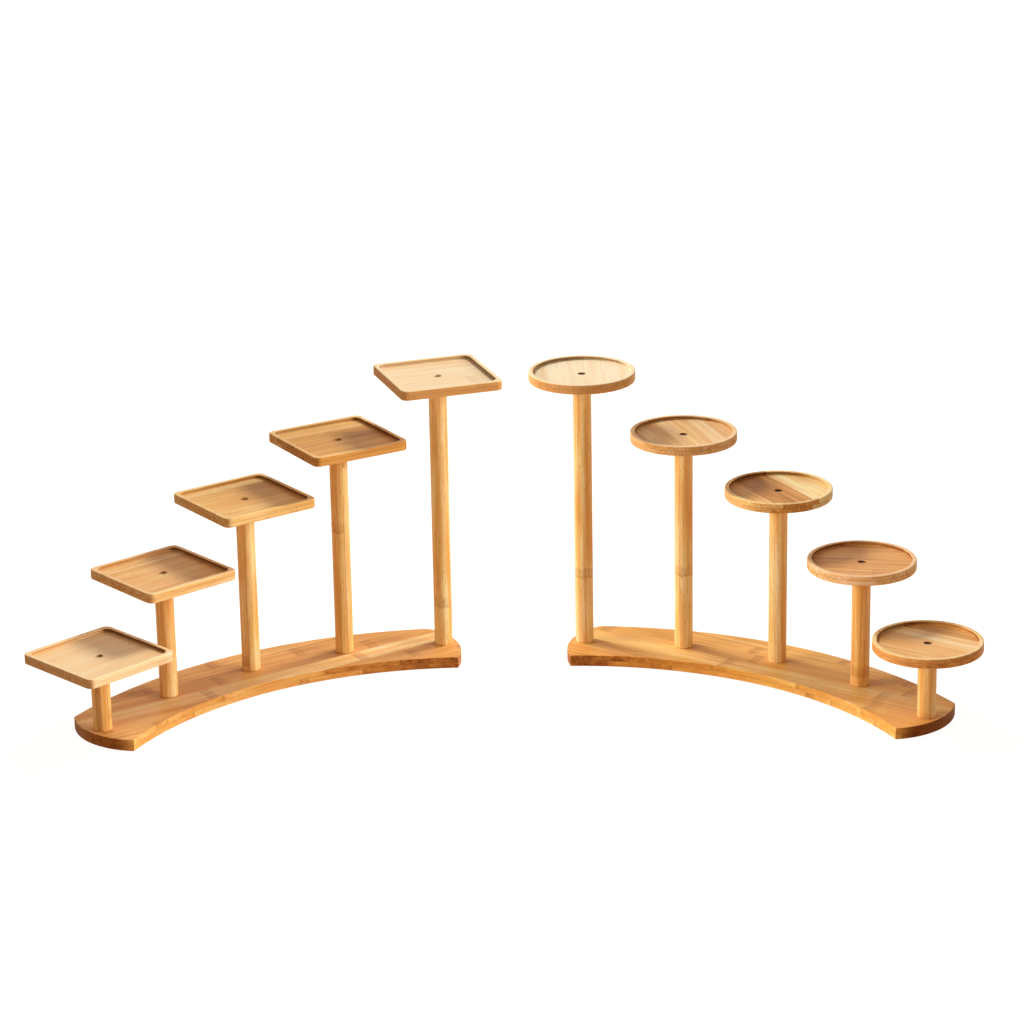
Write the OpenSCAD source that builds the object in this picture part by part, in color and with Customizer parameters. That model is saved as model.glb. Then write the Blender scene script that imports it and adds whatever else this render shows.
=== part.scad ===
// Pair of desktop plant stands in bamboo, one with square trays and one with round trays.
// Each stand is a curved plate that carries five round posts in rising steps, and each post
// carries one tray on a single screw, round which the tray can be turned.
// X runs along the row, Y goes to the back and Z is up, with the table at Z = 0.
// The origin lies under the middle of the pair.

/* [Base plates] */
// Radius of the circle on which the posts stand
post_circle_r = 375; // [340:1:450]
// Angle from one post to the next, seen from the centre of that circle
post_angle = 15.4; // [14.5:0.1:17]
// Width of the plate, from its hollow front edge to its bulging back edge
base_w = 83; // [70:1:96]
// Thickness of the plate
base_t = 11.5; // [9:0.5:18]
// Radius of the plate's rounded ends
end_round_r = 72.5; // [66:0.5:85]
// How far the plate runs past the axis of its outer posts
end_reach = 14.5; // [12:0.5:24]
// How far the centre of an end's rounding lies inside the post circle
end_inset = 14; // [4:1:20]
// Chamfer along the plate's two long edges
base_chamfer = 0.8; // [0.3:0.1:2]

/* [Posts] */
// Diameter of the round posts
post_d = 18; // [14:0.5:24]
// Length of the shortest post
low_post_len = 68; // [60:1:110]
// Step up from the first tray to the second
rise_2 = 52; // [30:1:80]
// Step up from the second tray to the third
rise_3 = 51; // [30:1:80]
// Step up from the third tray to the fourth
rise_4 = 45; // [30:1:80]
// Step up from the fourth tray to the fifth
rise_5 = 58; // [30:1:80]
// Chamfer at both ends of a post
post_chamfer = 0.8; // [0.3:0.1:2]

/* [Trays] */
// Thickness of a tray, from its underside to the top of its rim
tray_t = 9.5; // [8.5:0.5:16]
// Depth of the recess inside the rim
recess_depth = 3.5; // [2:0.1:4]
// Width of the rim
rim_w = 4.5; // [3:0.5:6]
// Diameter of a round tray
round_tray_d = 105; // [90:1:120]
// Side of a square tray
square_tray_w = 103; // [88:1:110]
// Radius of a square tray's corners
square_corner_r = 7; // [6:0.5:14]
// Radius of the corners inside a square tray's rim
recess_corner_r = 8; // [1:0.5:12]
// Chamfer along a tray's outer edges
tray_chamfer = 1; // [0.3:0.1:1.5]
// Chamfer along the inner edge of a round tray's rim
rim_chamfer = 0.5; // [0.2:0.1:1]

/* [Turn of the square trays] */
// Turn of the lowest square tray from the row's length
square_angle_1 = 45; // [0:1:90]
// Turn of the second square tray
square_angle_2 = 41; // [0:1:90]
// Turn of the third square tray
square_angle_3 = 36; // [0:1:90]
// Turn of the fourth square tray
square_angle_4 = 31; // [0:1:90]
// Turn of the tallest square tray
square_angle_5 = 19; // [0:1:90]

/* [Tray screws] */
// Diameter of the screw that holds a tray
tray_screw_d = 4; // [3:0.1:5]
// Length of that screw under its head
tray_screw_len = 22; // [16:1:26]
// Diameter of its pan head
pan_head_d = 7.2; // [6.4:0.1:9]
// Height of its pan head
pan_head_h = 1.8; // [1.4:0.1:2.2]
// How deep the top of the head lies below the floor of the tray
head_sink = 1.4; // [0.4:0.1:1.6]
// Gap around the head in its counterbore
head_gap = 0.4; // [0.2:0.1:1]
// Gap around the shank, on which the tray turns
swivel_gap = 0.08; // [0.03:0.01:0.1]

/* [Base screws] */
// Diameter of the screw that holds a post
base_screw_d = 4; // [3:0.1:5]
// Overall length of that screw
base_screw_len = 35; // [28:1:40]
// Diameter of its countersunk head
countersunk_head_d = 8; // [7.2:0.1:10]
// How deep the head lies above the underside of the plate
countersink_depth = 0.6; // [0.2:0.1:1.2]

/* [Screw threads] */
// Distance from one ridge of a thread to the next
thread_pitch = 1.8; // [1.2:0.1:2.5]
// Height of a thread's ridges
thread_depth = 0.6; // [0.3:0.1:0.9]
// Gap between a thread or countersunk head and the hole that it is driven into
drive_gap = 0.05; // [0.03:0.01:0.1]
// Length of a screw's point
screw_point_len = 4; // [2:0.5:6]
// Width of the arms of the cross in a screw's head
cross_w = 1; // [0.6:0.1:1.2]
// Length across the cross in a screw's head
cross_len = 4; // [3:0.1:4.5]
// Depth of the cross in a screw's head
cross_depth = 1.2; // [0.6:0.1:1.3]

/* [Placing of the pair] */
// Gap that is left between the two tallest trays when the square one points its corner at the round one
pair_gap = 19.4; // [18:0.1:400]
// Turn of each stand, so that both bulge to the back
stand_angle = 33.7; // [0:0.1:40]

/* [Hidden] */
$fn = 96;
SQUARE = -1;
ROUND = 1;
POSTS = [1 : 5];
MIDDLE = 3;
TALLEST = 5;
light_bamboo = [0.86, 0.66, 0.40];
bamboo = [0.82, 0.58, 0.31];
warm_bamboo = [0.78, 0.51, 0.26];
steel = [0.62, 0.62, 0.60];

post_lengths = [
    low_post_len,
    low_post_len + rise_2,
    low_post_len + rise_2 + rise_3,
    low_post_len + rise_2 + rise_3 + rise_4,
    low_post_len + rise_2 + rise_3 + rise_4 + rise_5
];
square_angles = [square_angle_1, square_angle_2, square_angle_3, square_angle_4, square_angle_5];

tray_floor = tray_t - recess_depth;
counterbore_r = pan_head_d / 2 + head_gap;
counterbore_depth = pan_head_h + head_sink;
web_t = tray_floor - counterbore_depth;
countersunk_head_h = (countersunk_head_d - base_screw_d) / 2;
tray_screw_bite = tray_screw_len - web_t;
base_screw_bite = base_screw_len + countersink_depth - base_t;
bore_spare = 1.5;
plain_shank = 2;
cut = 1;

// Places on the table, before the pair is centred on the origin. The right stand mirrors the left.
function along(i) = (i - MIDDLE) * post_angle;
function square_reach(turn) =
    (square_tray_w / 2 - square_corner_r) * (abs(cos(turn)) + abs(sin(turn))) + square_corner_r;
function reach(side, i) = side == SQUARE ? square_reach(square_angles[i - 1]) : round_tray_d / 2;
function from_middle_x(i) =
    post_circle_r * (sin(along(i)) * cos(stand_angle) - (cos(along(i)) - 1) * sin(stand_angle));
tallest_apart = square_reach(45) + round_tray_d / 2 + pair_gap;
middle_posts_apart = tallest_apart + 2 * from_middle_x(TALLEST);
function left_x(i) = from_middle_x(i) - middle_posts_apart / 2;
function left_y(i) = post_circle_r
    * (sin(along(i)) * sin(stand_angle) + (cos(along(i)) - 1) * cos(stand_angle));
left_edge = min([for (i = POSTS) left_x(i) - reach(SQUARE, i)]);
right_edge = max([for (i = POSTS) reach(ROUND, i) - left_x(i)]);
front_edge = min([for (i = POSTS, side = [SQUARE, ROUND]) left_y(i) - reach(side, i)]);
back_edge = max([for (i = POSTS, side = [SQUARE, ROUND]) left_y(i) + reach(side, i)]);
middle_x = (left_edge + right_edge) / 2;
middle_y = (front_edge + back_edge) / 2;
function post_x(side, i) = -side * left_x(i) - middle_x;
function post_y(i) = left_y(i) - middle_y;
function circle_x(side) = side * (middle_posts_apart / 2 - post_circle_r * sin(stand_angle)) - middle_x;
circle_y = -post_circle_r * cos(stand_angle) - middle_y;

// Rectangle about X = 0 that stands on Y = 0, with its four corners cut off
module chamfered_section(w, t, c) {
    polygon([
        [-w / 2 + c, 0], [w / 2 - c, 0], [w / 2, c], [w / 2, t - c],
        [w / 2 - c, t], [-w / 2 + c, t], [-w / 2, t - c], [-w / 2, c]
    ]);
}

module chamfered_disc(r, t, c) {
    rotate_extrude()
        polygon([[0, 0], [r - c, 0], [r, c], [r, t - c], [r - c, t], [0, t]]);
}

module chamfered_bar(length, w, t, c) {
    rotate([90, 0, 90])
        translate([0, 0, -length / 2])
            linear_extrude(height = length)
                chamfered_section(w, t, c);
}

// Square plate with round corners and chamfered edges
module square_plate(w, t, r, c) {
    chamfered_bar(w - 2 * r, w, t, c);
    rotate([0, 0, 90])
        chamfered_bar(w - 2 * r, w, t, c);
    for (x = [-1, 1], y = [-1, 1])
        translate([x * (w / 2 - r), y * (w / 2 - r), 0])
            chamfered_disc(r, t, c);
}

module at_post(side, i, z) {
    translate([post_x(side, i), post_y(i), z])
        children();
}

// Hole for a tray's screw: a counterbore for the head and a running fit on the shank
module tray_screw_hole() {
    translate([0, 0, web_t])
        cylinder(r = counterbore_r, h = counterbore_depth + cut);
    translate([0, 0, -cut])
        cylinder(r = tray_screw_d / 2 + swivel_gap, h = web_t + 2 * cut);
}

module round_tray(i) {
    inner_r = round_tray_d / 2 - rim_w;
    color(light_bamboo)
        at_post(ROUND, i, base_t + post_lengths[i - 1])
            difference() {
                chamfered_disc(round_tray_d / 2, tray_t, tray_chamfer);
                translate([0, 0, tray_floor])
                    cylinder(r = inner_r, h = recess_depth + cut);
                translate([0, 0, tray_t - rim_chamfer])
                    cylinder(r1 = inner_r, r2 = inner_r + 2 * rim_chamfer, h = 2 * rim_chamfer);
                tray_screw_hole();
            }
}

module square_tray(i) {
    inner_w = square_tray_w - 2 * rim_w;
    color(light_bamboo)
        at_post(SQUARE, i, base_t + post_lengths[i - 1])
            rotate([0, 0, square_angles[i - 1]])
                difference() {
                    square_plate(square_tray_w, tray_t, square_corner_r, tray_chamfer);
                    translate([0, 0, tray_floor])
                        square_plate(inner_w, recess_depth + cut, recess_corner_r, 0);
                    tray_screw_hole();
                }
}

// Round post with a pilot hole in each end for the screw that is driven there
module post(side, i) {
    length = post_lengths[i - 1];
    color(bamboo)
        at_post(side, i, base_t)
            difference() {
                chamfered_disc(post_d / 2, length, post_chamfer);
                translate([0, 0, length - tray_screw_bite - bore_spare])
                    cylinder(r = tray_screw_d / 2 + drive_gap, h = tray_screw_bite + bore_spare + cut);
                translate([0, 0, -cut])
                    cylinder(r = base_screw_d / 2 + drive_gap, h = base_screw_bite + bore_spare + cut);
            }
}

// Curved plate: a ring around the centre of the post circle, closed by two rounded ends
module base(side) {
    end_angle = along(TALLEST) - (end_round_r - end_reach) / post_circle_r * 180 / PI;
    far = (post_circle_r + base_w) / cos(end_angle);
    color(warm_bamboo)
        difference() {
            translate([circle_x(side), circle_y, 0])
                rotate([0, 0, -side * stand_angle])
                    intersection() {
                        rotate_extrude()
                            translate([post_circle_r, 0])
                                chamfered_section(base_w, base_t, base_chamfer);
                        union() {
                            translate([0, 0, -cut])
                                linear_extrude(height = base_t + 2 * cut)
                                    polygon([
                                        [0, 0],
                                        [-far * sin(end_angle), far * cos(end_angle)],
                                        [far * sin(end_angle), far * cos(end_angle)]
                                    ]);
                            for (end = [-1, 1])
                                rotate([0, 0, end * end_angle])
                                    translate([0, post_circle_r - end_inset, -cut])
                                        cylinder(r = end_round_r, h = base_t + 2 * cut);
                        }
                    }
            for (i = POSTS)
                at_post(side, i, 0)
                    base_screw_hole();
        }
}

module base_screw_hole() {
    head_r = countersunk_head_d / 2 + drive_gap;
    shank_r = base_screw_d / 2 + drive_gap;
    translate([0, 0, -cut])
        cylinder(r = head_r, h = cut + countersink_depth);
    translate([0, 0, countersink_depth])
        cylinder(r1 = head_r, r2 = shank_r, h = countersunk_head_h);
    translate([0, 0, -cut])
        cylinder(r = shank_r, h = base_t + 2 * cut);
}

// Shank that hangs down from Z = 0: plain at first, then ridged, then pointed
module screw_shank(d, length, plain) {
    ridges = floor((length - plain - screw_point_len) / thread_pitch);
    root_r = d / 2 - thread_depth;
    point_z = -plain - ridges * thread_pitch;
    rotate_extrude()
        polygon([
            [0, 0], [d / 2, 0], [d / 2, -plain],
            for (k = [0 : ridges - 1])
                each [
                    [root_r, -plain - (k + 0.4) * thread_pitch],
                    [root_r, -plain - (k + 0.6) * thread_pitch],
                    [d / 2, -plain - (k + 1) * thread_pitch]
                ],
            [root_r, point_z - 0.4 * thread_pitch], [0, -length]
        ]);
}

// Cross that is pressed into a screw's head, below Z = 0
module cross_recess() {
    for (turn = [45, 135])
        rotate([0, 0, turn])
            translate([-cross_len / 2, -cross_w / 2, -cross_depth])
                cube([cross_len, cross_w, cross_depth + cut]);
}

module tray_screws(side) {
    dome = pan_head_h / 2;
    color(steel)
        for (i = POSTS)
            at_post(side, i, base_t + post_lengths[i - 1] + web_t)
                difference() {
                    union() {
                        screw_shank(tray_screw_d, tray_screw_len, web_t + plain_shank);
                        rotate_extrude()
                            polygon([
                                [0, 0], [pan_head_d / 2, 0], [pan_head_d / 2, pan_head_h - dome],
                                [pan_head_d / 2 - dome / 2, pan_head_h - dome / 3],
                                [pan_head_d / 2 - 1.5 * dome, pan_head_h], [0, pan_head_h]
                            ]);
                    }
                    translate([0, 0, pan_head_h])
                        cross_recess();
                }
}

module base_screws(side) {
    color(steel)
        for (i = POSTS)
            at_post(side, i, countersink_depth)
                rotate([180, 0, 0])
                    difference() {
                        union() {
                            translate([0, 0, -countersunk_head_h])
                                screw_shank(base_screw_d, base_screw_len - countersunk_head_h, base_t);
                            translate([0, 0, -countersunk_head_h])
                                cylinder(r1 = base_screw_d / 2, r2 = countersunk_head_d / 2,
                                    h = countersunk_head_h);
                        }
                        cross_recess();
                    }
}

base(SQUARE);  // square_base
base(ROUND);  // round_base
post(SQUARE, 1);  // square_post_1
post(SQUARE, 2);  // square_post_2
post(SQUARE, 3);  // square_post_3
post(SQUARE, 4);  // square_post_4
post(SQUARE, 5);  // square_post_5
post(ROUND, 1);  // round_post_1
post(ROUND, 2);  // round_post_2
post(ROUND, 3);  // round_post_3
post(ROUND, 4);  // round_post_4
post(ROUND, 5);  // round_post_5
square_tray(1);  // square_tray_1
square_tray(2);  // square_tray_2
square_tray(3);  // square_tray_3
square_tray(4);  // square_tray_4
square_tray(5);  // square_tray_5
round_tray(1);  // round_tray_1
round_tray(2);  // round_tray_2
round_tray(3);  // round_tray_3
round_tray(4);  // round_tray_4
round_tray(5);  // round_tray_5
tray_screws(SQUARE);  // square_tray_screws
tray_screws(ROUND);  // round_tray_screws
base_screws(SQUARE);  // square_base_screws
base_screws(ROUND);  // round_base_screws
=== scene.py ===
"""Looks of a pair of desktop plant stands in laminated bamboo: one with square trays, one with round trays.

Pieces are modelled in millimetres about the origin, and put in their places in metres.
"""
import math
import random

import bmesh
import bpy
from mathutils import Matrix, Vector


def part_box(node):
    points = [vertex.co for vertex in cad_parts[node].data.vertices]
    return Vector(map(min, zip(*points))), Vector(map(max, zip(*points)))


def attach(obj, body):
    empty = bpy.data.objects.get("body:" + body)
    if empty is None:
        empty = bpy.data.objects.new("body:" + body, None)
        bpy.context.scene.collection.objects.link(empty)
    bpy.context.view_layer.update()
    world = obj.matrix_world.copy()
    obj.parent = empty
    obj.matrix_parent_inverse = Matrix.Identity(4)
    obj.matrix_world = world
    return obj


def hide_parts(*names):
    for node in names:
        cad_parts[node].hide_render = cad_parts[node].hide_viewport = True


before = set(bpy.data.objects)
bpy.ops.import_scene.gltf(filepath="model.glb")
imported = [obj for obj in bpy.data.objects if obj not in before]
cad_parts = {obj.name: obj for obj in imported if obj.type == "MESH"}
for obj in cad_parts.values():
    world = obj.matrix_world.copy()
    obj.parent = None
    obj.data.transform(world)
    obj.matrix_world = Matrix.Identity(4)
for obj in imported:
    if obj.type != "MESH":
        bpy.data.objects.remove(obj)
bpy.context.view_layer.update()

bpy.ops.object.select_all(action="DESELECT")

MM = 0.001
TOUCH = 0.0001
UP = (0, 0, 1)
SIDES = {"square": -1, "round": 1}
STEPS = range(1, 6)
MIDDLE_STEP = 3

# Trays
SQUARE_TRAY_W = 103
SQUARE_CORNER_R = 7
RECESS_CORNER_R = 8
ROUND_TRAY_R = 52.5
TRAY_T = 9.5
TRAY_PLY = 5
RIM_W = 4.5
RECESS = 3.5
TRAY_FLOOR = TRAY_T - RECESS
OUTER_EDGE = 1
RIM_EDGE = 0.5
FLOOR_FILLET = 0.7
HEAD_HOLE_R = 4
HEAD_HOLE_DEPTH = 3.2
SHANK_HOLE_R = 2.08
HOLE_EDGE = 0.25
SQUARE_TURNS = (45, 41, 36, 31, 19)

# Posts
POST_R = 9
POST_EDGE = 0.8
PILOT_R = 2.05
PILOT_TOP_DEPTH = 20.7
PILOT_FOOT_DEPTH = 25.6

# Base plates
BASE_W = 83
BASE_T = 11.5
BASE_PLY = 5.8
BASE_EDGE = 0.6
END_ROUND_R = 72.5
END_REACH = 14.5
END_INSET = 14
SINK_R = 4.05
SINK_DEPTH = 0.6
SINK_CONE = 2

# Glue line between two plies
GROOVE_HALF = 0.12
GROOVE_DEPTH = 0.08

# How fine the round shapes are, and how exact the picking and cutting
HOLE_SIDES = 64
POST_SIDES = 72
ROUND_TRAY_SIDES = 120
CORNER_STEPS = 12
LONG_ARC_STEPS = 96
END_ARC_STEPS = 24
ARC_TOLERANCE = 0.05
CORNER_SLACK = 0.5
CUT_OVERSHOOT = 1
SMOOTH_ANGLE = 40


def spot_of(node):
    """Middle of a CAD node's underside, in metres."""
    low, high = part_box(node)
    return Vector(((low.x + high.x) / 2, (low.y + high.y) / 2, low.z))


def height_of(node):
    """Height of a CAD node in millimetres."""
    low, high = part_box(node)
    return (high.z - low.z) / MM


# Modelling by hand, in code


def begin(primitive, **size):
    """Adds a primitive at the origin and opens it for editing."""
    bpy.ops.object.select_all(action="DESELECT")
    primitive(**size)
    bpy.ops.object.mode_set(mode="EDIT")
    bpy.ops.mesh.select_mode(type="VERT")
    bpy.ops.mesh.select_all(action="SELECT")


def pick(kind, test):
    """Selects only the vertices, edges or faces that pass a test of their place."""
    bpy.ops.mesh.select_mode(type=kind)
    bpy.ops.mesh.select_all(action="DESELECT")
    data = bpy.context.object.data
    mesh = bmesh.from_edit_mesh(data)
    mesh.normal_update()
    items = {"VERT": mesh.verts, "EDGE": mesh.edges, "FACE": mesh.faces}[kind]
    for item in items:
        if test(item):
            item.select_set(True)
    mesh.select_flush_mode()
    bmesh.update_edit_mesh(data)


def at_level(*levels):
    """Test for an edge or face that lies at one of the heights."""

    def test(item):
        return any(all(abs(vertex.co.z - z) < TOUCH for vertex in item.verts) for z in levels)

    return test


def extrude(z):
    bpy.ops.mesh.extrude_region_move(TRANSFORM_OT_translate={"value": (0, 0, z)})


def round_edges(offset, segments):
    bpy.ops.mesh.bevel(offset=offset, segments=segments, affect="EDGES", profile=0.5)


def slide_all(x, y, z=0):
    """Moves the whole piece that is being edited."""
    bpy.ops.mesh.select_all(action="SELECT")
    bpy.ops.transform.translate(value=(x, y, z))


def point_outwards():
    """Turns every face of the closed piece that is being edited outwards."""
    bpy.ops.mesh.select_all(action="SELECT")
    bpy.ops.mesh.normals_make_consistent(inside=False)


def groove(z):
    """Cuts the fine glue line between two plies into the wall of a plate."""
    for level in (z - GROOVE_HALF, z, z + GROOVE_HALF):
        bpy.ops.mesh.select_all(action="SELECT")
        bpy.ops.mesh.bisect(plane_co=(0, 0, level), plane_no=UP, threshold=TOUCH)
    pick("VERT", lambda vertex: abs(vertex.co.z - z) < TOUCH)
    bpy.ops.transform.shrink_fatten(value=-GROOVE_DEPTH)


def drill(profile):
    """Bores the piece that is being edited, from below: profile lists (radius, height) upwards."""
    point_outwards()
    bpy.ops.object.mode_set(mode="OBJECT")
    piece = bpy.context.object
    start_r, start_z = profile[0]
    begin(bpy.ops.mesh.primitive_circle_add, vertices=HOLE_SIDES, radius=start_r, fill_type="NGON")
    bpy.ops.transform.translate(value=(0, 0, start_z))
    for (last_r, last_z), (radius, z) in zip(profile, profile[1:]):
        extrude(z - last_z)
        if radius != last_r:
            bpy.ops.transform.resize(value=(radius / last_r, radius / last_r, 1))
    point_outwards()
    bpy.ops.object.mode_set(mode="OBJECT")
    cut_away(piece, bpy.context.object)


def cut_away(piece, cutter):
    """Takes the cutter out of the piece and opens the piece for editing again."""
    bpy.ops.object.select_all(action="DESELECT")
    piece.select_set(True)
    bpy.context.view_layer.objects.active = piece
    hole = piece.modifiers.new("hole", "BOOLEAN")
    hole.object = cutter
    hole.solver = "EXACT"
    bpy.ops.object.modifier_apply(modifier=hole.name)
    bpy.data.objects.remove(cutter)
    bpy.ops.object.mode_set(mode="EDIT")


def close(name, place, turn):
    """Finishes the mesh that is being edited and puts it in its place, in metres."""
    bpy.ops.mesh.select_all(action="SELECT")
    bpy.ops.mesh.remove_doubles(threshold=TOUCH)
    point_outwards()
    bpy.ops.object.mode_set(mode="OBJECT")
    piece = bpy.context.object
    piece.name = piece.data.name = name
    bpy.ops.object.shade_smooth_by_angle(angle=math.radians(SMOOTH_ANGLE))
    flat = piece.modifiers.new("flat faces stay flat", "WEIGHTED_NORMAL")
    flat.keep_sharp = True
    bpy.ops.object.modifier_apply(modifier=flat.name)
    piece.scale = (MM, MM, MM)
    piece.location = place
    piece.rotation_euler = (0, 0, turn)
    bpy.ops.object.transform_apply(location=True, rotation=True, scale=True)
    return piece


def hand_over(piece, node, body, material):
    """Gives a piece its material and its body, and hides the CAD node that it stands for."""
    piece.data.materials.clear()
    piece.data.materials.append(material)
    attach(piece, body)
    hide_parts(node)


# Trays


def widen_corners(at, radius, wanted):
    """Rounds the four corners of a recess more, from their radius about (at, at) to the wanted one."""
    for x, y in ((1, 1), (1, -1), (-1, 1), (-1, -1)):

        def in_corner(vertex):
            off_x, off_y = vertex.co.x * x - at, vertex.co.y * y - at
            on_arc = abs(math.hypot(off_x, off_y) - radius) < ARC_TOLERANCE
            return on_arc and min(off_x, off_y) > -CORNER_SLACK

        pick("VERT", in_corner)
        growth = wanted / radius
        bpy.ops.transform.resize(value=(growth, growth, 1), center_override=(x * at, y * at, 0))
        bpy.ops.transform.translate(value=(x * (radius - wanted), y * (radius - wanted), 0))


def mill_tray(half, corner_r=None):
    """From the outline face of a tray: its edges, glue line, recess and screw hole."""
    inner_half = half - RIM_W
    recess_r = RECESS_CORNER_R if corner_r else inner_half

    def recess_edge(z):
        """Test for an edge on the recess's outline at one height."""

        def test(edge):
            for vertex in edge.verts:
                x, y = (max(abs(c) - (inner_half - recess_r), 0) for c in vertex.co.xy)
                if abs(vertex.co.z - z) > TOUCH or abs(math.hypot(x, y) - recess_r) > ARC_TOLERANCE:
                    return False
            return True

        return test

    extrude(TRAY_T)
    pick("EDGE", at_level(0, TRAY_T))
    round_edges(OUTER_EDGE, 4)
    groove(TRAY_PLY)

    pick("FACE", at_level(TRAY_T))
    bpy.ops.mesh.inset(thickness=RIM_W - OUTER_EDGE)
    if corner_r:
        inset_r = corner_r - RIM_W
        widen_corners(inner_half - inset_r, inset_r, recess_r)
        pick("FACE", lambda face: at_level(TRAY_T)(face) and face.calc_center_median().xy.length < 1)
    extrude(-RECESS)
    pick("EDGE", recess_edge(TRAY_T))
    round_edges(RIM_EDGE, 3)
    pick("EDGE", recess_edge(TRAY_FLOOR))
    round_edges(FLOOR_FILLET, 3)

    web = TRAY_FLOOR - HEAD_HOLE_DEPTH
    drill([
        (SHANK_HOLE_R, -CUT_OVERSHOOT),
        (SHANK_HOLE_R, web),
        (HEAD_HOLE_R, web),
        (HEAD_HOLE_R, TRAY_FLOOR - HOLE_EDGE),
        (HEAD_HOLE_R + 2 * HOLE_EDGE, TRAY_FLOOR + HOLE_EDGE),
    ])


def round_tray(name, place):
    begin(bpy.ops.mesh.primitive_circle_add, vertices=ROUND_TRAY_SIDES, radius=ROUND_TRAY_R,
          fill_type="NGON")
    mill_tray(ROUND_TRAY_R)
    return close(name, place, 0)


def square_tray(name, place, turn):
    begin(bpy.ops.mesh.primitive_plane_add, size=SQUARE_TRAY_W)
    bpy.ops.mesh.bevel(offset=SQUARE_CORNER_R, segments=CORNER_STEPS, affect="VERTICES")
    pick("FACE", lambda face: True)
    mill_tray(SQUARE_TRAY_W / 2, SQUARE_CORNER_R)
    return close(name, place, turn)


# Posts


def post(name, place, length):
    begin(bpy.ops.mesh.primitive_cylinder_add, vertices=POST_SIDES, radius=POST_R, depth=length,
          location=(0, 0, 0))
    for end, depth in ((1, PILOT_TOP_DEPTH), (-1, PILOT_FOOT_DEPTH)):
        pick("EDGE", at_level(end * length / 2))
        round_edges(POST_EDGE, 3)
        pick("FACE", at_level(end * length / 2))
        bpy.ops.mesh.inset(thickness=POST_R - POST_EDGE - PILOT_R)
        extrude(-end * depth)
    return close(name, place + Vector((0, 0, length / 2 * MM)), 0)


# Base plates


def post_circle(kind):
    """Centre of the circle that the posts stand on, its radius, and the way to the middle post."""
    first, middle, last = (spot_of(f"{kind}_post_{i}").xy / MM for i in (1, MIDDLE_STEP, 5))
    chord = first - last
    out = middle - (first + last) / 2
    radius = (chord.length_squared / 4 + out.length_squared) / (2 * out.length)
    return middle - out.normalized() * radius, radius, out.normalized()


def on_circle(radius, angle):
    """Point at an angle from +Y, clockwise."""
    return Vector((radius * math.sin(angle), radius * math.cos(angle), 0))


def outline_plate(radius, last_angle):
    """Draws a plate's outline: two long arcs about the origin, closed by an arc at each end."""
    end_angle = last_angle - (END_ROUND_R - END_REACH) / radius
    end_centre = radius - END_INSET

    def corner_angle(edge_r):
        cosine = (edge_r**2 + end_centre**2 - END_ROUND_R**2) / (2 * edge_r * end_centre)
        return end_angle + math.acos(cosine)

    outer, inner = radius + BASE_W / 2, radius - BASE_W / 2
    outer_turn, inner_turn = corner_angle(outer), corner_angle(inner)
    right_end = on_circle(end_centre, end_angle)
    left_end = on_circle(end_centre, -end_angle)
    to_outer = on_circle(outer, outer_turn) - right_end
    to_inner = on_circle(inner, inner_turn) - right_end
    end_sweep = to_outer.angle(to_inner)

    begin(bpy.ops.mesh.primitive_plane_add, size=1, location=(0, 0, 0))
    bpy.ops.mesh.merge(type="CENTER")
    slide_all(*on_circle(outer, -outer_turn))
    for steps, angle, middle in (
        (LONG_ARC_STEPS, 2 * outer_turn, Vector((0, 0, 0))),
        (END_ARC_STEPS, end_sweep, right_end),
        (LONG_ARC_STEPS, -2 * inner_turn, Vector((0, 0, 0))),
        (END_ARC_STEPS, end_sweep, left_end),
    ):
        bpy.ops.mesh.spin(steps=steps, angle=angle, center=middle, axis=UP)
    bpy.ops.mesh.select_all(action="SELECT")
    bpy.ops.mesh.remove_doubles(threshold=0.01)
    bpy.ops.mesh.edge_face_add()


def base_plate(kind):
    """The plate of one stand, and how far it is turned from bulging towards +Y."""
    centre, radius, out = post_circle(kind)
    first = spot_of(f"{kind}_post_1").xy / MM - centre
    outline_plate(radius, first.angle(out))
    extrude(BASE_T)
    groove(BASE_PLY)
    pick("EDGE", at_level(0, BASE_T))
    round_edges(BASE_EDGE, 3)
    turn = math.atan2(out.y, out.x) - math.pi / 2
    for i in STEPS:
        foot = spot_of(f"{kind}_post_{i}").xy / MM - centre
        foot.rotate(Matrix.Rotation(-turn, 2))
        slide_all(-foot.x, -foot.y)
        drill([
            (SINK_R, -CUT_OVERSHOOT),
            (SINK_R, SINK_DEPTH),
            (PILOT_R, SINK_DEPTH + SINK_CONE),
            (PILOT_R, BASE_T + CUT_OVERSHOOT),
        ])
        slide_all(foot.x, foot.y)
    place = Vector((centre.x * MM, centre.y * MM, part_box(f"{kind}_base")[0].z))
    return close(f"{kind}_base_board", place, turn), turn


# Materials


def srgb(red, green, blue):
    """A colour from its screen values, 0 to 255."""
    levels = (red / 255, green / 255, blue / 255)
    return [c / 12.92 if c <= 0.04045 else ((c + 0.055) / 1.055) ** 2.4 for c in levels] + [1]


def grey(value):
    return [value, value, value, 1]


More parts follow.
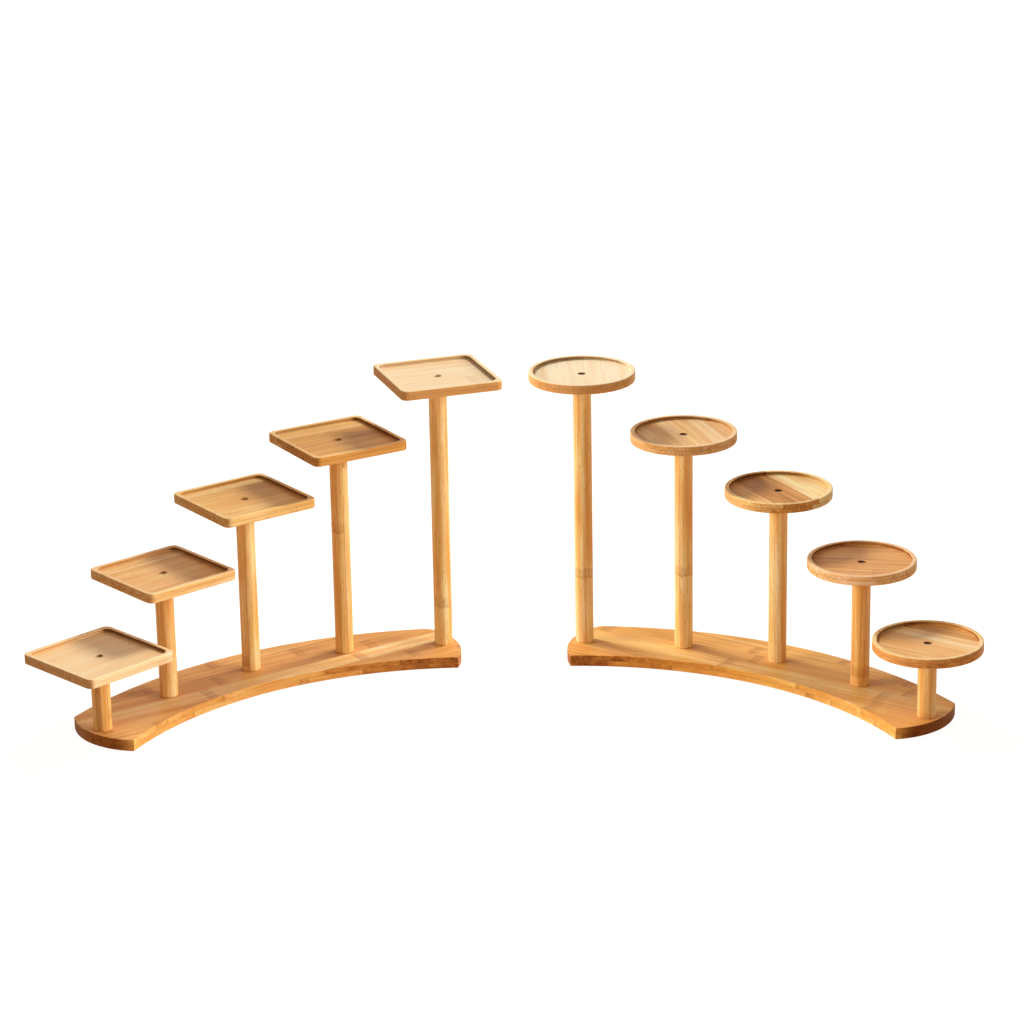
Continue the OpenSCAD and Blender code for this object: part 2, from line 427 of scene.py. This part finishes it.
class Recipe:
    """The nodes of one material, added and wired by short calls."""

    def __init__(self, name):
        self.material = bpy.data.materials.new(name)
        self.material.use_nodes = True
        self.tree = self.material.node_tree
        self.tree.nodes.clear()

    def add(self, kind, inputs, out=0, **settings):
        made = self.tree.nodes.new("ShaderNode" + kind)
        for name, value in settings.items():
            setattr(made, name, value)
        for key, value in inputs.items():
            if isinstance(value, bpy.types.NodeSocket):
                self.tree.links.new(value, made.inputs[key])
            else:
                made.inputs[key].default_value = value
        return made.outputs[out] if made.outputs else made

    def math(self, operation, *values):
        return self.add("Math", dict(enumerate(values)), operation=operation)

    def plus_times(self, value, factor, gain):
        """The value with the gain added factor times."""
        return self.math("MULTIPLY_ADD", gain, factor, value)

    def times(self, first, *others):
        for other in others:
            first = self.math("MULTIPLY", first, other)
        return first

    def minus(self, value, taken):
        return self.math("SUBTRACT", value, taken)

    def absolute(self, value):
        return self.math("ABSOLUTE", value)

    def split(self, vector):
        node = self.add("SeparateXYZ", {0: vector}).node
        return node.outputs[0], node.outputs[1], node.outputs[2]

    def fade(self, value, start, end, first=0.0, last=1.0):
        """Runs smoothly from first to last while the value goes from start to end."""
        inputs = {"Value": value, "From Min": start, "From Max": end, "To Min": first, "To Max": last}
        return self.add("MapRange", inputs, interpolation_type="SMOOTHSTEP")

    def noise(self, point, size, detail=2.0, roughness=0.5):
        """Noise whose features are size long, wide and high, in millimetres."""
        shrunk = self.add("VectorMath", {0: point, 1: size}, operation="DIVIDE")
        inputs = {"Vector": shrunk, "Scale": 1.0, "Detail": detail, "Roughness": roughness}
        return self.add("TexNoise", inputs)

    def ramp(self, factor, stops, interpolation="LINEAR"):
        colour = self.add("ValToRGB", {0: factor})
        ramp = colour.node.color_ramp
        ramp.interpolation = interpolation
        ramp.elements.remove(ramp.elements[1])
        ramp.elements[0].position, ramp.elements[0].color = stops[0]
        for position, value in stops[1:]:
            ramp.elements.new(position).color = value
        return colour

    def mix(self, factor, first, second, blend="MIX"):
        inputs = {0: factor, 6: first, 7: second}
        return self.add("Mix", inputs, out=2, data_type="RGBA", blend_type=blend)

    def tinted(self, colour, tint, factor=1.0):
        return self.mix(factor, colour, tint, "MULTIPLY")

    def finish(self, **inputs):
        """Ends in a Principled shader; _ in a name stands for a space."""
        sockets = {key.replace("_", " "): value for key, value in inputs.items()}
        shader = self.add("BsdfPrincipled", sockets)
        self.add("OutputMaterial", {"Surface": shader})
        return self.material


# Colours of bamboo, its tones from dark to light
TONES = [
    (0.0, srgb(134, 78, 34)),
    (0.2, srgb(184, 122, 66)),
    (0.4, srgb(216, 156, 92)),
    (0.6, srgb(232, 176, 112)),
    (0.8, srgb(244, 202, 146)),
    (1.0, srgb(254, 236, 202)),
]
WHITE = (1.0, 1.0, 1.0, 1.0)
GOLDEN = (1.0, 0.99, 0.86, 1)
ROSY = (1.0, 0.955, 0.96, 1)
NODE_BROWN = srgb(160, 88, 34)
FIBRE_BROWN = srgb(158, 96, 44)
SEAM_BROWN = srgb(112, 64, 28)
END_SPECK = srgb(104, 56, 22)
# Painted shade on the side walls of a tray's recess, darker on end-grain walls
WALL_SHADE_TINT = (0.64, 0.56, 0.46, 1)
WALL_SHADE_END_TINT = (0.40, 0.30, 0.22, 1)
# Painted highlight on the top of a tray's rim
RIM_HIGHLIGHT = srgb(255, 226, 178)

# Grain of bamboo: millimetres along, across and up, and how much a wave adds to the tone
FIBRE_SIZE = (60, 1.5, 1.5)
STREAK_SIZE = (150, 4.2, 4.2)
CLOUD_SIZE = (60, 20, 20)
DASH_SIZE = (8, 0.6, 0.6)
HUE_SIZE = (110, 6, 6)
SPECK_SIZE = (7, 1.2, 1.2)
PORE_SIZE = (6, 0.85, 0.85)
FIBRE_WEIGHT = 0.52
STREAK_WEIGHT = 0.46
CLOUD_WEIGHT = 0.34

# How strongly fine marks show
DASH_DEPTH = 0.26
JOINT_DEPTH = 0.30
SEAM_DEPTH = 0.28

# How the patterns of strips, plies and nodes are set apart
PLY_KEY = 17.3
STRIP_KEY = 731.0
FAR_ALONG = 900.0
FAR_ACROSS = 300.0
LOWER_SHIFT = 9.0
LOWER_NODE_SHIFT = 70.0
NODE_RAGGED = 9.0
RING_OFF = 4.5
NO_JOINT_NEAR = 9.0


class Bamboo(Recipe):
    """Laminated bamboo with its grain along its own X, its strips side by side along its own Y.

    middle is the point on the underside that the pattern is centred on, lie its turn, strips a list
    of (edge, tone, place of a node along the grain) in millimetres, span the width that they cover,
    ply the height of the glue line, seed what sets one piece's grain apart from another's.
    """

    def __init__(self, name, middle, lie, strips, span, ply, seed):
        super().__init__(name)
        self.strips, self.span, self.ply, self.seed = strips, span, ply, seed
        source = self.tree.nodes.new("ShaderNodeTexCoord").outputs
        place = {"Vector": source["Object"], "Location": middle, "Rotation": lie, "Scale": (MM, MM, MM)}
        facing = {"Vector": source["Normal"], "Rotation": lie}
        self.point = self.add("Mapping", place, vector_type="TEXTURE")
        self.along, self.across, self.up = self.split(self.point)
        self.end_on, _, self.level = self.split(self.add("Mapping", facing, vector_type="TEXTURE"))
        self.upper = self.math("GREATER_THAN", self.up, ply)
        self.lower = self.minus(1.0, self.upper)
        self.shifted = self.plus_times(self.across, LOWER_SHIFT, self.lower)

    def lay_strips(self, node_gap):
        """Tone of each strip, and where its nodes are as a share of the way from node to node."""
        place = self.plus_times(0.5, 1 / self.span, self.shifted)
        starts = [0.0] + [strip[0] / self.span + 0.5 for strip in self.strips[1:]]
        tones = [(start, grey(tone)) for start, (_, tone, _) in zip(starts, self.strips)]
        nodes = [(start, grey(node / node_gap % 1.0)) for start, (_, _, node) in zip(starts, self.strips)]
        return self.ramp(place, tones, "CONSTANT"), self.ramp(place, nodes, "CONSTANT")

    def grow(self, strip_tone):
        """Gives every strip of each ply its own grain, by a shift by chance, and draws its waves."""
        key = self.plus_times(self.plus_times(self.seed, STRIP_KEY, strip_tone), PLY_KEY, self.upper)
        chance = self.add("TexWhiteNoise", {"W": key}, out="Color", noise_dimensions="1D")
        first, second, _ = self.split(chance)
        shift = {0: self.times(first, FAR_ALONG), 1: self.times(second, FAR_ACROSS), 2: float(self.seed)}
        far = {0: self.point, 1: self.add("CombineXYZ", shift)}
        self.own = self.add("VectorMath", far, operation="ADD")
        self.fibre = self.noise(self.own, FIBRE_SIZE, 3.0, 0.62)
        self.streak = self.noise(self.own, STREAK_SIZE, 1.0)
        self.cloud = self.noise(self.own, CLOUD_SIZE, 2.0)
        self.dash = self.fade(self.noise(self.own, DASH_SIZE, 1.0), 0.60, 0.74)
        self.hue = self.fade(self.noise(self.own, HUE_SIZE, 1.0), 0.35, 0.65)

    def reach_from(self, half, corner_r):
        """How far a point is from a tray's middle, measured so that the recess's outline is at half."""
        straight = half - corner_r
        past_x, past_y = (
            self.math("MAXIMUM", self.minus(self.absolute(way), straight), 0.0)
            for way in (self.along, self.across)
        )
        squares = self.plus_times(self.times(past_y, past_y), past_x, past_x)
        return self.math("ADD", self.math("SQRT", squares), straight)

    def draw_joints(self, colour, depth):
        """Fine dark lines between the strips."""
        joint = NO_JOINT_NEAR
        for strip in self.strips[1:]:
            joint = self.math("MINIMUM", joint, self.absolute(self.minus(self.shifted, strip[0])))
        return self.mix(self.fade(joint, 0.1, 0.6, depth, 0.0), colour, FIBRE_BROWN)

    def draw_nodes(self, colour, phase, node_gap, knots):
        """The cane's nodes: a speckled band across a strip with a ring at one side of it."""
        on_cane = self.plus_times(self.plus_times(self.along, LOWER_NODE_SHIFT, self.lower), -node_gap, phase)
        gap = self.math("WRAP", on_cane, node_gap / 2, -node_gap / 2)
        ragged = self.minus(self.noise(self.own, FIBRE_SIZE, 2.0, 0.6), 0.5)
        gap = self.plus_times(gap, NODE_RAGGED, ragged)
        band = self.fade(self.absolute(gap), 3.0, 7.0, 1.0, 0.0)
        ring = self.fade(self.absolute(self.math("ADD", gap, RING_OFF)), 0.5, 2.0, 1.0, 0.0)
        speck = self.fade(self.noise(self.own, SPECK_SIZE, 1.0), 0.40, 0.66)
        knot = self.times(band, self.plus_times(0.24 * knots, 0.34 * knots, speck))
        return self.mix(self.plus_times(knot, 0.28 * knots, ring), colour, NODE_BROWN)

    def draw_end_grain(self, colour, end_grain, tint):
        """Cut fibres: darker, with pores."""
        pore = self.fade(self.noise(self.own, PORE_SIZE, 1.5), 0.48, 0.64)
        cut = self.mix(self.times(pore, 0.5), self.tinted(colour, tint), END_SPECK)
        return self.mix(end_grain, colour, cut)

    def draw_seam(self, colour):
        """The glue line between the plies."""
        seam = self.fade(self.absolute(self.minus(self.up, self.ply)), 0.1, 0.45, SEAM_DEPTH, 0.0)
        return self.mix(seam, colour, SEAM_BROWN)

    def paint_recess_shade_and_highlight(self, colour, end_grain, reach, half, rim_highlight, hole_shade_tint):
        """Painted shade on the recess's side walls, darkest just below the rim's top and darker on end-grain
        walls, a painted highlight on the rim's top, and painted shade inside the screw hole.
        """
        # Painted shade: the recess's side walls are darkened, most just below the rim's top and more on end
        # grain
        wall = self.times(
            self.fade(reach, half - 2.2, half - 0.4),
            self.math("LESS_THAN", reach, half + 0.25),
            self.fade(self.up, TRAY_T - 0.9, TRAY_T - 0.2, 1.0, 0.0),
            self.fade(self.up, TRAY_T - 3.4, TRAY_T - 1.6, 0.45, 1.0),
            self.math("GREATER_THAN", self.up, TRAY_FLOOR - 1),
        )
        stain_and_wall_shade = self.mix(end_grain, WALL_SHADE_TINT, WALL_SHADE_END_TINT)
        colour = self.tinted(colour, self.mix(wall, WHITE, stain_and_wall_shade))
        # Painted highlight: the rim's top is made paler where it faces up
        rim = self.times(
            self.math("GREATER_THAN", self.up, TRAY_T - 1),
            self.fade(reach, half, half + 0.5, 0.0, rim_highlight),
            self.fade(self.level, 0.2, 0.8),
        )
        colour = self.mix(rim, colour, RIM_HIGHLIGHT)
        flat = self.add("CombineXYZ", {0: self.along, 1: self.across})
        away = self.add("VectorMath", {0: flat}, out="Value", operation="LENGTH")
        # Painted shade: the inside of the screw hole is tinted
        hole_shade_mask = self.times(
            self.math("LESS_THAN", away, HEAD_HOLE_R + 0.3),
            self.math("LESS_THAN", self.up, TRAY_FLOOR - 0.3),
            self.math("GREATER_THAN", self.up, 0.5),
        )
        return self.tinted(colour, self.mix(hole_shade_mask, WHITE, hole_shade_tint))


def bamboo(name, middle, lie, strips, span, ply, seed, *, node_gap, figure, knots, tint, shine=0.12,
           painted_light_slope=0.0, side=None, end_tint=WHITE, end_from=0.05, recess=None):
    """The finished bamboo of one piece; the first seven values are those of Bamboo.

    node_gap is the way from node to node, figure how strongly the grain shows, knots how dark the
    nodes are, painted_light_slope what the tone gains with each millimetre along the grain, as
    painted light that makes a base paler towards its low end. side gives what a board's sides add to
    the tone, what they add with each millimetre along the grain, and their tint: partly the sides'
    own colour, partly painted light and shade. end_tint is the tint of the end grain, for a base
    partly painted shade, end_from how far a face is turned to the grain where it begins. recess gives
    the half width of a tray's recess, its corner radius, the strength of the painted highlight on
    its rim's top and the tint of the painted shade inside its screw hole.
    """
    wood = Bamboo(name, middle, lie, strips, span, ply, seed)
    strip_tone, phase = wood.lay_strips(node_gap)
    wood.grow(strip_tone)
    end_grain = wood.fade(wood.times(wood.end_on, wood.end_on), end_from, end_from + 0.35)
    if recess:
        half, corner_r, rim_highlight, hole_shade_tint = recess
        reach = wood.reach_from(half, corner_r)

    # Painted light: the tone rises along the grain, so that a base is paler towards its low end
    tone = wood.plus_times(strip_tone, painted_light_slope, wood.along)
    if side:
        # Partly painted light and shade: the sides' own tone and tint, and for a base a tone that rises
        # towards its low end
        side_tone_and_shade, side_painted_light_slope, side_tint = side
        upright = wood.minus(1.0, wood.absolute(wood.level))
        if recess:
            upright = wood.times(upright, wood.math("GREATER_THAN", reach, half + 2))
        side_lie = wood.times(wood.along, wood.minus(1.0, end_grain))
        tone = wood.plus_times(tone, wood.plus_times(side_tone_and_shade, side_painted_light_slope, side_lie), upright)
    waves = ((wood.fibre, FIBRE_WEIGHT), (wood.streak, STREAK_WEIGHT), (wood.cloud, CLOUD_WEIGHT))
    for wave, weight in waves:
        tone = wood.plus_times(tone, weight * figure, wood.minus(wave, 0.5))

    colour = wood.tinted(wood.ramp(tone, TONES), wood.mix(wood.hue, GOLDEN, ROSY), figure)
    if side:
        colour = wood.tinted(colour, side_tint, upright)
    colour = wood.mix(wood.times(wood.dash, DASH_DEPTH * figure), colour, FIBRE_BROWN)
    colour = wood.draw_joints(colour, JOINT_DEPTH * figure)
    colour = wood.draw_nodes(colour, phase, node_gap, knots)
    colour = wood.draw_end_grain(colour, end_grain, end_tint)
    colour = wood.draw_seam(colour)
    if recess:
        # Painted shade on the recess's walls and in its screw hole, and a painted highlight on the rim's top
        colour = wood.paint_recess_shade_and_highlight(colour, end_grain, reach, half, rim_highlight, hole_shade_tint)
    colour = wood.tinted(colour, tint)

    relief = wood.plus_times(wood.times(wood.dash, -0.4), 0.5, wood.fibre)
    bump = wood.add("Bump", {"Height": relief, "Strength": 0.25, "Distance": 0.0003})
    rough = wood.plus_times(wood.plus_times(0.38, 0.18, end_grain), 0.16, wood.fibre)
    return wood.finish(Base_Color=colour, Roughness=rough, Normal=bump, Specular_IOR_Level=shine)


def brushed_steel(name, dark, light):
    """Steel with fine scratches, stained between two colours."""
    steel = Recipe(name)
    source = steel.tree.nodes.new("ShaderNodeTexCoord")
    point = steel.add("VectorMath", {0: source.outputs["Object"], 1: (MM, MM, MM)}, operation="DIVIDE")
    scratch = steel.noise(point, (0.15, 1.2, 0.3), 3.0)
    stain_and_wall_shade = steel.noise(point, (2.5, 2.5, 2.5), 2.0)
    colour = steel.ramp(stain_and_wall_shade, [(0.3, dark), (0.7, light)])
    rough = steel.plus_times(0.22, 0.25, scratch)
    bump = steel.add("Bump", {"Height": scratch, "Strength": 0.15, "Distance": 0.0001})
    return steel.finish(Base_Color=colour, Metallic=1.0, Roughness=rough, Normal=bump)


# Looks of the base plates; a strip is its front edge, its tone and the place of one of its nodes
BASE_STRIPS = {
    "square": [
        (-110, 0.54, 30), (-68.5, 0.58, -20), (-46.5, 0.80, 105),
        (-22.8, 0.50, 130), (-0.8, 0.53, 60), (21.5, 0.64, -27),
    ],
    "round": [
        (-110, 0.53, 90), (-68, 0.66, -34), (-45, 0.80, -38),
        (-20.5, 0.61, -18), (1, 0.62, -30), (22, 0.68, 60),
    ],
}
BASE_SPAN = 220
BASE_SEED = 3.7
BASE_FIGURE = 1.15
BASE_KNOTS = 0.75
BASE_TINTS = {"square": (1.0, 0.96, 0.78, 1), "round": (1.0, 0.94, 0.62, 1)}
BASE_NODE_GAP = 172.0
# Painted light: how much paler a base grows towards its low end, by the millimetre
BASE_PAINTED_LIGHT_SLOPE = 0.0002
# Sides of a base: tone, tone gained by the millimetre and tint, partly own colour, partly painted light paler
# towards the low end
BASE_SIDE_TONE_AND_SHADE = -0.12
BASE_SIDE_PAINTED_LIGHT_SLOPE = 0.0013
BASE_SIDE_TINT = (1.0, 0.90, 0.72, 1)
# End grain of a base: partly its own darker colour, partly painted shade
BASE_END_GRAIN_AND_SHADE_TINTS = {"square": (0.48, 0.35, 0.25, 1), "round": (0.34, 0.22, 0.12, 1)}
BASE_END_FROM = 0.35

# Looks of the posts
POST_TINT = (1.0, 0.94, 0.70, 1.0)
POST_SHINE = 0.15
POST_SPAN = 24
POST_STRIP_EDGES = (-9.5, -5.2, -0.4, 4.6)
POST_STRIP_PLAY = 0.6
POST_TONES = (0.69, 0.88)
POST_NODE_GAP = 230.0
POST_FIGURE = 1.5
POST_KNOTS = 0.6
POST_TURN_BY_STEP = 35
POST_TURN_BY_SIDE = 50
NO_PLY = 100.0

# Looks of the trays, from the lowest to the tallest; a strip is its first edge and its tone
TRAY_STRIPS = {
    "square": [
        [(-51, 0.84), (-12, 0.86), (22, 0.82)],
        [(-51, 0.64), (-8, 0.60), (30, 0.66)],
        [(-51, 0.66), (-20, 0.60), (33, 0.76)],
        [(-51, 0.52), (-18, 0.46), (8, 0.54), (28, 0.76)],
        [(-51, 0.90), (-14, 0.92), (20, 0.88)],
    ],
    "round": [
        [(-52, 0.62), (-28, 0.68), (8, 0.82), (27, 0.44)],
        [(-52, 0.54), (-20, 0.48), (8, 0.56), (30, 0.44)],
        [(-52, 0.58), (-24, 0.28), (-3, 0.30), (14.3, 0.84)],
        [(-52, 0.72), (-14, 0.74), (17, 0.80)],
        [(-52, 0.99), (-20, 0.97), (12, 1.0), (34, 0.95)],
    ],
}
TRAY_SPAN = 105
TRAY_SEED = 5.3
TRAY_NODE_GAP = 260.0
TRAY_FIGURE = 1.2
PALE_TRAY_FIGURE = 0.45
TRAY_KNOTS = 0.3

# What a tray's side adds to the tone, what it adds by the millimetre, and its tint: partly the side's own
# colour, partly painted light and shade, darker or paler per tray as the light fell on it
TRAY_SIDES_WITH_PAINTED_LIGHT = {
    "square": [
        (0.02, 0.0, (1.0, 0.96, 0.92, 1)),
        (0.10, 0.0, (1.0, 0.94, 0.78, 1)),
        (0.10, 0.0, (1.0, 0.94, 0.86, 1)),
        (-0.05, 0.0, (1.0, 0.94, 0.84, 1)),
        (-0.46, 0.0, (1.0, 1.0, 0.98, 1)),
    ],
    "round": [
        (-0.22, 0.0, (1.0, 0.87, 0.76, 1)),
        (0.28, 0.0, (1.0, 0.95, 0.86, 1)),
        (0.12, 0.0, (1.0, 0.94, 0.88, 1)),
        (0.0, 0.0, (1.0, 0.94, 0.86, 1)),
        (-0.34, 0.0, (1.0, 0.95, 0.88, 1)),
    ],
}
TRAY_END_TINTS = {
    "square": [(0.70, 0.53, 0.37, 1)] + 3 * [(0.80, 0.72, 0.66, 1)] + [WHITE],
    "round": 3 * [(1.0, 0.97, 0.93, 1)] + [(0.98, 0.92, 0.86, 1), (0.96, 0.90, 0.84, 1)],
}
WARM = (1.0, 1.0, 0.84, 1.0)
TRAY_TINTS = {
    "square": (WHITE, WHITE, WARM, WARM, WHITE),
    "round": ((1.0, 1.0, 0.92, 1.0), (1.0, 0.97, 1.0, 1.0), WARM, WHITE, WHITE),
}
PALE_TRAYS = {"square": (1, 5), "round": (5,)}
ROUND_GRAIN = (-34, -9, -62, -71, 92)
# Strength of the painted highlight on each kind of tray's rim top
RIM_HIGHLIGHT_STRENGTH = {"square": 0.3, "round": 0.5}
# Tint of the painted shade inside each kind of tray's screw hole
HOLE_SHADE_TINTS = {"square": (1.0, 0.96, 0.86, 1), "round": (0.42, 0.32, 0.24, 1)}

# Steel of the screws, from its dark to its light parts
SCREW_STEELS = {
    "square": (srgb(150, 132, 106), srgb(206, 188, 160)),
    "round": (srgb(104, 102, 96), srgb(176, 174, 168)),
}


def dowel_strips(seed):
    """Narrow strips of a post, light and dark by chance."""
    chance = random.Random(seed)
    strips = []
    for edge in POST_STRIP_EDGES:
        edge += chance.uniform(-POST_STRIP_PLAY, POST_STRIP_PLAY)
        tone = chance.uniform(*POST_TONES)
        strips.append((edge, tone, chance.uniform(0, POST_NODE_GAP)))
    return strips


def tray_strips(kind, i):
    """The strips of a tray, each with a node at a place left to chance."""
    chance = random.Random(100 * i + SIDES[kind])
    return [(edge, tone, chance.uniform(0, TRAY_NODE_GAP)) for edge, tone in TRAY_STRIPS[kind][i - 1]]


# The pieces of both stands


def build_base(kind):
    side = SIDES[kind]
    node = f"{kind}_base"
    board, turn = base_plate(kind)
    middle = spot_of(f"{kind}_post_{MIDDLE_STEP}")
    middle.z = 0
    look = bamboo(
        f"{node}_bamboo", middle, (0, 0, turn), BASE_STRIPS[kind], BASE_SPAN, BASE_PLY, BASE_SEED + side,
        node_gap=BASE_NODE_GAP, figure=BASE_FIGURE, knots=BASE_KNOTS, tint=BASE_TINTS[kind],
        painted_light_slope=BASE_PAINTED_LIGHT_SLOPE * side, side=(BASE_SIDE_TONE_AND_SHADE, BASE_SIDE_PAINTED_LIGHT_SLOPE * side, BASE_SIDE_TINT),
        end_tint=BASE_END_GRAIN_AND_SHADE_TINTS[kind], end_from=BASE_END_FROM,
    )
    hand_over(board, node, f"{kind}_stand", look)
    return board


def build_post(kind, i):
    side = SIDES[kind]
    node = f"{kind}_post_{i}"
    foot = spot_of(node)
    seed = 10 * i + side
    turn = math.radians(POST_TURN_BY_STEP * i + POST_TURN_BY_SIDE * side)
    look = bamboo(
        f"{node}_bamboo", foot, (0, -math.pi / 2, turn), dowel_strips(seed), POST_SPAN, NO_PLY, seed,
        node_gap=POST_NODE_GAP, figure=POST_FIGURE, knots=POST_KNOTS, tint=POST_TINT, shine=POST_SHINE,
    )
    dowel = post(f"{kind}_dowel_{i}", foot, height_of(node))
    hand_over(dowel, node, f"{kind}_stand", look)
    return dowel


def build_tray(kind, i):
    node = f"{kind}_tray_{i}"
    name = f"{kind}_plate_{i}"
    place = spot_of(node)
    if kind == "square":
        grain = math.radians(SQUARE_TURNS[i - 1])
        tray = square_tray(name, place, grain)
        inner = SQUARE_TRAY_W / 2 - RIM_W
        corner_r = RECESS_CORNER_R
    else:
        grain = math.radians(ROUND_GRAIN[i - 1])
        tray = round_tray(name, place)
        inner = corner_r = ROUND_TRAY_R - RIM_W
    look = bamboo(
        f"{node}_bamboo", place, (0, 0, grain), tray_strips(kind, i), TRAY_SPAN, TRAY_PLY,
        TRAY_SEED * (10 * i + SIDES[kind]), node_gap=TRAY_NODE_GAP,
        figure=PALE_TRAY_FIGURE if i in PALE_TRAYS[kind] else TRAY_FIGURE, knots=TRAY_KNOTS,
        tint=TRAY_TINTS[kind][i - 1], side=TRAY_SIDES_WITH_PAINTED_LIGHT[kind][i - 1], end_tint=TRAY_END_TINTS[kind][i - 1],
        recess=(inner, corner_r, RIM_HIGHLIGHT_STRENGTH[kind], HOLE_SHADE_TINTS[kind]),
    )
    hand_over(tray, node, node, look)
    return tray


def polish_screws(kind):
    """Gives the CAD model's screws their steel."""
    steel = brushed_steel(f"{kind}_screw_steel", *SCREW_STEELS[kind])
    groups = [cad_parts[f"{kind}_{use}_screws"] for use in ("tray", "base")]
    for screws in groups:
        screws.data.materials.clear()
        screws.data.materials.append(steel)
    return groups


def build_stand(kind):
    pieces = [build_base(kind)]
    for i in STEPS:
        pieces += [build_post(kind, i), build_tray(kind, i)]
    return pieces + polish_screws(kind)


# Camera, light and floor

CAMERA_PLACE = (0.0270, -3.1786, 1.2767)
CAMERA_PITCH, CAMERA_YAW, CAMERA_ROLL = 18.926, 0.317, -1.011
FOCAL_PIXELS = 3500
PHOTO_W = 1024
SENSOR_W = 36
LAMP_COLOUR = (1.0, 0.995, 0.97)
WORLD_COLOUR = (1.0, 0.87, 0.77, 1)
WORLD_OVERHEAD = 0.12
WORLD_LEVEL = 0.66
FLOOR_COLOUR = (0.50, 0.39, 0.30, 1)
FLOOR_GLOW = (0.79, 0.91, 1, 1)
FLOOR_LIFT = 0.77
FLOOR_DROP = 0.0002

# Azimuth and height in degrees, strength and spread of the left stand's lamps
KEY_LAMP = (35, 50, 0.70, 18.5)
SIDE_LAMP = (-8, 15, 0.66, 26)


def place_camera():
    """The photograph's view: from in front and above, a little turned and rolled."""
    data = bpy.data.cameras.new("camera")
    data.sensor_width = SENSOR_W
    data.lens = SENSOR_W * FOCAL_PIXELS / PHOTO_W
    data.clip_end = 50
    camera = bpy.data.objects.new("camera", data)
    bpy.context.scene.collection.objects.link(camera)
    pitch, yaw, roll = (math.radians(a) for a in (CAMERA_PITCH, CAMERA_YAW, CAMERA_ROLL))
    turn = Matrix.Rotation(yaw, 4, "Z") @ Matrix.Rotation(math.pi / 2 - pitch, 4, "X")
    camera.matrix_world = Matrix.Translation(CAMERA_PLACE) @ turn @ Matrix.Rotation(roll, 4, "Z")
    bpy.context.scene.camera = camera


def soft_sun(name, azimuth, height, strength, spread):
    """A large far lamp: azimuth from +X towards +Y and height above the floor, in degrees."""
    data = bpy.data.lights.new(name, "SUN")
    data.energy = strength * math.pi
    data.color = LAMP_COLOUR
    data.angle = math.radians(spread)
    lamp = bpy.data.objects.new(name, data)
    bpy.context.scene.collection.objects.link(lamp)
    lamp.rotation_euler = (math.radians(90 - height), 0, math.radians(azimuth + 90))
    return lamp


def light_only(lamp, lit, shading):
    """Lets a lamp reach only some pieces, and only some pieces stand in its way."""
    for word, pieces in (("receiver", lit), ("blocker", shading)):
        group = bpy.data.collections.new(f"{lamp.name}_{word}")
        for piece in pieces:
            group.objects.link(piece)
        setattr(lamp.light_linking, f"{word}_collection", group)


def light_stand(kind, pieces, ground):
    """Two lamps for one stand, mirrored for the right one: each was lit from its tall side."""
    for name, lamp, lit in (("key", KEY_LAMP, pieces + [ground]), ("side", SIDE_LAMP, pieces)):
        azimuth, height, strength, spread = lamp
        if kind == "round":
            azimuth = 180 - azimuth
        light_only(soft_sun(f"{name}_for_{kind}", azimuth, height, strength, spread), lit, pieces)


def seen_directly(tree):
    """1 for what the camera sees, also in metal or through glass, and 0 for light on other things."""
    path = tree.nodes.new("ShaderNodeLightPath")
    seen = path.outputs["Is Camera Ray"]
    for ray in ("Is Glossy Ray", "Is Transmission Ray"):
        either = tree.nodes.new("ShaderNodeMath")
        either.operation = "MAXIMUM"
        tree.links.new(seen, either.inputs[0])
        tree.links.new(path.outputs[ray], either.inputs[1])
        seen = either.outputs[0]
    return seen


def light_world():
    """Light all round, less overhead than level with the floor, and plain white to the camera."""
    made = bpy.data.worlds.new("studio")
    bpy.context.scene.world = made
    made.use_nodes = True
    tree = made.node_tree
    tree.nodes.clear()
    source = tree.nodes.new("ShaderNodeTexCoord")
    parts = tree.nodes.new("ShaderNodeSeparateXYZ")
    tree.links.new(source.outputs["Generated"], parts.inputs[0])
    strength = tree.nodes.new("ShaderNodeMapRange")
    strength.inputs["To Min"].default_value = WORLD_LEVEL
    strength.inputs["To Max"].default_value = WORLD_OVERHEAD
    tree.links.new(parts.outputs["Z"], strength.inputs["Value"])
    light = tree.nodes.new("ShaderNodeBackground")
    light.inputs["Color"].default_value = WORLD_COLOUR
    tree.links.new(strength.outputs[0], light.inputs["Strength"])
    white = tree.nodes.new("ShaderNodeBackground")
    white.inputs["Color"].default_value = WHITE
    both = tree.nodes.new("ShaderNodeMixShader")
    tree.links.new(seen_directly(tree), both.inputs[0])
    tree.links.new(light.outputs[0], both.inputs[1])
    tree.links.new(white.outputs[0], both.inputs[2])
    out = tree.nodes.new("ShaderNodeOutputWorld")
    tree.links.new(both.outputs[0], out.inputs[0])


def lay_floor():
    """A pale floor that reads white to the camera and keeps the object's shadow."""
    begin(bpy.ops.mesh.primitive_plane_add, size=12)
    bpy.ops.object.mode_set(mode="OBJECT")
    sheet = bpy.context.object
    sheet.name = "floor"
    sheet.location.z = -FLOOR_DROP
    material = bpy.data.materials.new("pale_floor")
    material.use_nodes = True
    tree = material.node_tree
    tree.nodes.clear()
    paint = tree.nodes.new("ShaderNodeBsdfDiffuse")
    paint.inputs["Color"].default_value = FLOOR_COLOUR
    glow = tree.nodes.new("ShaderNodeEmission")
    glow.inputs["Color"].default_value = FLOOR_GLOW
    strength = tree.nodes.new("ShaderNodeMath")
    strength.operation = "MULTIPLY"
    strength.inputs[1].default_value = FLOOR_LIFT
    tree.links.new(seen_directly(tree), strength.inputs[0])
    tree.links.new(strength.outputs[0], glow.inputs["Strength"])
    both = tree.nodes.new("ShaderNodeAddShader")
    tree.links.new(paint.outputs[0], both.inputs[0])
    tree.links.new(glow.outputs[0], both.inputs[1])
    out = tree.nodes.new("ShaderNodeOutputMaterial")
    tree.links.new(both.outputs[0], out.inputs[0])
    sheet.data.materials.append(material)
    return sheet


bpy.context.scene.view_settings.view_transform = "Standard"
place_camera()
light_world()
ground = lay_floor()
for kind in SIDES:
    light_stand(kind, build_stand(kind), ground)
